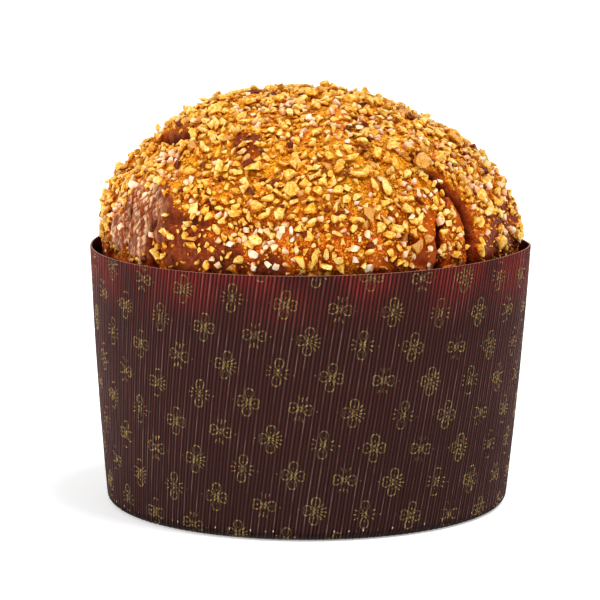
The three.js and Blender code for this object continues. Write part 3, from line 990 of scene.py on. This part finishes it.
def almond_material():
    made = Shader("almond")
    dip, shade = made.number("dip"), made.number("shade")
    mottle, grain = made.noise(1.5, 3), made.noise(0.7, 3)
    # pale cream tops are painted light; browner towards the bottom, partly toasting in the glaze and partly
    # painted shade
    level = made.math("ADD", dip, made.fit(mottle, 0.35, 0.65, -0.3, 0.3))
    cream = made.mix(shade, (252, 208, 84), (254, 232, 152))
    yellow = made.mix(shade, (240, 156, 8), (248, 184, 32))
    brown = made.mix(shade, (196, 78, 0), (140, 34, 0))
    base = made.mix(made.fit(level, 0.05, 0.5), cream, yellow)
    base = made.mix(made.fit(level, 0.45, 0.9), base, brown)
    base = made.mix(made.fit(shade, 0.9, 0.98, 0, 0.7), base, (198, 106, 14))
    base = made.mix(made.fit(grain, 0.5, 0.68, 0, 0.45), base, (212, 130, 20))
    made.set(Base_Color=base, Roughness=made.fit(grain, 0.3, 0.7, 0.22, 0.42))
    made.set(Specular_Tint=(1.0, 0.84, 0.66, 1.0), Specular_IOR_Level=0.38)
    made.bump(grain, 0.3, 0.8)
    return made.material


def meal_material():
    made = Shader("almond_meal")
    dip, shade = made.number("dip"), made.number("shade")
    base = made.mix(shade, (238, 146, 0), (254, 202, 56))
    base = made.mix(made.fit(dip, 0.3, 0.9), base, (190, 88, 0))
    made.set(Base_Color=base, Roughness=0.5, Specular_IOR_Level=0.2)
    return made.material


def skin_material():
    made = Shader("almond_skin")
    shade, mottle = made.number("shade"), made.noise(1.2, 4)
    base = made.mix(made.fit(mottle, 0.35, 0.7), (74, 18, 8), (124, 44, 14))
    base = made.mix(made.math("MULTIPLY", shade, 0.4), base, (150, 62, 16))
    made.set(Base_Color=base, Roughness=0.42)
    made.set(Specular_Tint=(1.0, 0.75, 0.6, 1.0), Specular_IOR_Level=0.25)
    made.bump(mottle, 0.25, 0.6)
    return made.material


def sugar_material():
    made = Shader("pearl_sugar")
    dip, shade, grain = made.number("dip"), made.number("shade"), made.noise(0.6, 2)
    clean = made.mix(shade, (255, 234, 204), (250, 206, 132))
    base = made.mix(made.fit(dip, 0.2, 0.8, 0, 0.9), clean, (214, 108, 8))
    made.set(Base_Color=base, Roughness=0.3)
    made.bump(grain, 0.15, 0.5)
    return made.material


def paper_material():
    made = Shader("case_paper")
    fibre = made.noise(1.4, 4, 0.6, (1.0, 1.0, 0.35))
    broad, stain_and_highlight_patches = made.noise(16, 3), made.noise(24, 2, 0.4)
    valley = made.number("valley")
    base = made.mix(fibre, (56, 23, 20), (69, 32, 28))
    base = made.mix(made.fit(broad, 0.35, 0.7, 0, 0.4), base, (58, 21, 23))
    height = made.node("SeparateXYZ", {0: made.place()}).outputs["Z"]
    # painted shade: darker towards the bottom of the case
    base = made.mix(made.fit(height, 70 * MM, 8 * MM, 0, 0.35), base, (40, 16, 14))
    near_rim = made.fit(height, 84 * MM, 108 * MM)
    greasy = made.math("MULTIPLY", near_rim, made.fit(stain_and_highlight_patches, 0.3, 0.6, 0.15, 0.75))
    base = made.mix(greasy, base, (126, 32, 27))
    # painted highlights: thin light lines on the tall ridges, in streaks and patches
    highlight_streak = made.fit(made.noise(2.2, 2, 0.5, (1.0, 1.0, 0.04)), 0.44, 0.6, 0.3, 1)
    ridge_highlight = made.math("MULTIPLY", made.fit(valley, 0.0, 0.16, 0.66, 0), made.fit(stain_and_highlight_patches, 0.35, 0.6, 0.3, 1))
    base = made.mix(made.math("MULTIPLY", ridge_highlight, highlight_streak), base, (148, 114, 102))
    # painted shade in the flute valleys
    base = made.mix(made.fit(valley, 0.3, 0.9, 0, 0.85), base, (20, 8, 8))
    length = made.number("length")
    # painted shade low on the heel, where it turns under
    base = made.mix(made.fit(length, 6.6, 4.6, 0, 0.65), base, (16, 7, 6))
    bend = made.math("MULTIPLY", made.fit(length, 5.9, 6.4), made.fit(length, 7.2, 6.7))
    glint = made.math("MULTIPLY", bend, made.fit(valley, 0.3, 0.1))
    glint = made.math("MULTIPLY", glint, made.fit(made.noise(4, 2), 0.54, 0.6))
    base = made.mix(glint, base, (210, 194, 184))
    made.set(Base_Color=base, Roughness=made.fit(fibre, 0.3, 0.7, 0.38, 0.5))
    made.set(Specular_Tint=(1.0, 0.8, 0.75, 1.0), Specular_IOR_Level=0.1)
    made.bump(fibre, 0.06, 0.4)
    return made.material


def edge_material():
    made = Shader("cut_edge")
    fibre = made.noise(0.8, 3)
    made.set(Base_Color=made.mix(fibre, (150, 104, 88), (206, 160, 140)), Roughness=0.6)
    return made.material


def ink_material():
    made = Shader("case_print")
    wear, valley = made.noise(0.9, 3), made.number("valley")
    base = made.mix(made.fit(wear, 0.35, 0.65), (98, 74, 30), (176, 146, 84))
    # painted shade in the flute valleys
    base = made.mix(made.fit(valley, 0.2, 0.75, 0, 0.9), base, (44, 28, 12))
    made.set(Base_Color=base, Roughness=0.45, Metallic=0.15, Specular_IOR_Level=0.2)
    return made.material


def floor_material():
    made = Shader("floor")
    made.set(Base_Color=(0.92, 0.92, 0.92, 1.0), Roughness=0.7, Specular_IOR_Level=0.2)
    made.set(Emission_Color=(1, 1, 1, 1), Emission_Strength=FLOOR_GLOW)
    return made.material


# Surroundings
def add_floor():
    mesh = bpy.data.meshes.new("floor")
    corners = [(across * FLOOR_REACH, along * FLOOR_REACH, 0)
               for across, along in ((-1, -1), (1, -1), (1, 1), (-1, 1))]
    mesh.from_pydata(corners, [], [(0, 1, 2, 3)])
    mesh.materials.append(floor_material())
    add_object("floor", mesh)


def add_lamp(name, way, power, spread):
    """A broad soft lamp that shines along a way."""
    data = bpy.data.lights.new(name, "SUN")
    data.energy = power
    data.angle = radians(spread)
    add_object(name, data).rotation_euler = Vector(way).to_track_quat("-Z", "Y").to_euler()


def add_sky():
    """White all round, brighter overhead and to the left."""
    world = bpy.data.worlds.new("studio")
    world.use_nodes = True
    tree = world.node_tree
    way = tree.nodes.new("ShaderNodeTexCoord")
    parts = tree.nodes.new("ShaderNodeSeparateXYZ")
    ramp = tree.nodes.new("ShaderNodeMapRange")
    ramp.inputs[3].default_value, ramp.inputs[4].default_value = SKY_HEIGHT
    side = tree.nodes.new("ShaderNodeMapRange")
    side.inputs[1].default_value = -1.0
    side.inputs[3].default_value, side.inputs[4].default_value = SKY_SIDES
    both = tree.nodes.new("ShaderNodeMath")
    both.operation = "MULTIPLY"
    tree.links.new(way.outputs["Generated"], parts.inputs[0])
    tree.links.new(parts.outputs["Z"], ramp.inputs["Value"])
    tree.links.new(parts.outputs["X"], side.inputs["Value"])
    tree.links.new(ramp.outputs[0], both.inputs[0])
    tree.links.new(side.outputs[0], both.inputs[1])
    background = tree.nodes["Background"]
    background.inputs["Color"].default_value = (1, 1, 1, 1)
    tree.links.new(both.outputs[0], background.inputs["Strength"])
    bpy.context.scene.world = world
    bpy.context.scene.view_settings.view_transform = "Standard"


def add_camera():
    data = bpy.data.cameras.new("camera")
    data.sensor_width = SENSOR
    data.lens = FOCAL_PIXELS / PHOTO_SIZE * SENSOR
    data.clip_end = 20.0
    camera = add_object("camera", data)
    camera.location = Vector(CAMERA_PLACE) * MM
    camera.rotation_euler = (pi / 2 - CAMERA_DIP, 0, 0)
    bpy.context.scene.camera = camera


add_camera()
add_floor()
for lamp in LAMPS:
    add_lamp(*lamp)
add_sky()
paper = paper_material()
nut_seats, nut_sizes = add_toppings({
    "almond": almond_material(), "almond_skin": skin_material(), "almond_meal": meal_material(),
    "pearl_sugar": sugar_material()})
add_crust(crust_material(), nut_seats, nut_sizes)
add_case(paper, edge_material())
add_print(ink_material())
base_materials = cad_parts["case_base"].data.materials
base_materials.clear()
base_materials.append(paper)
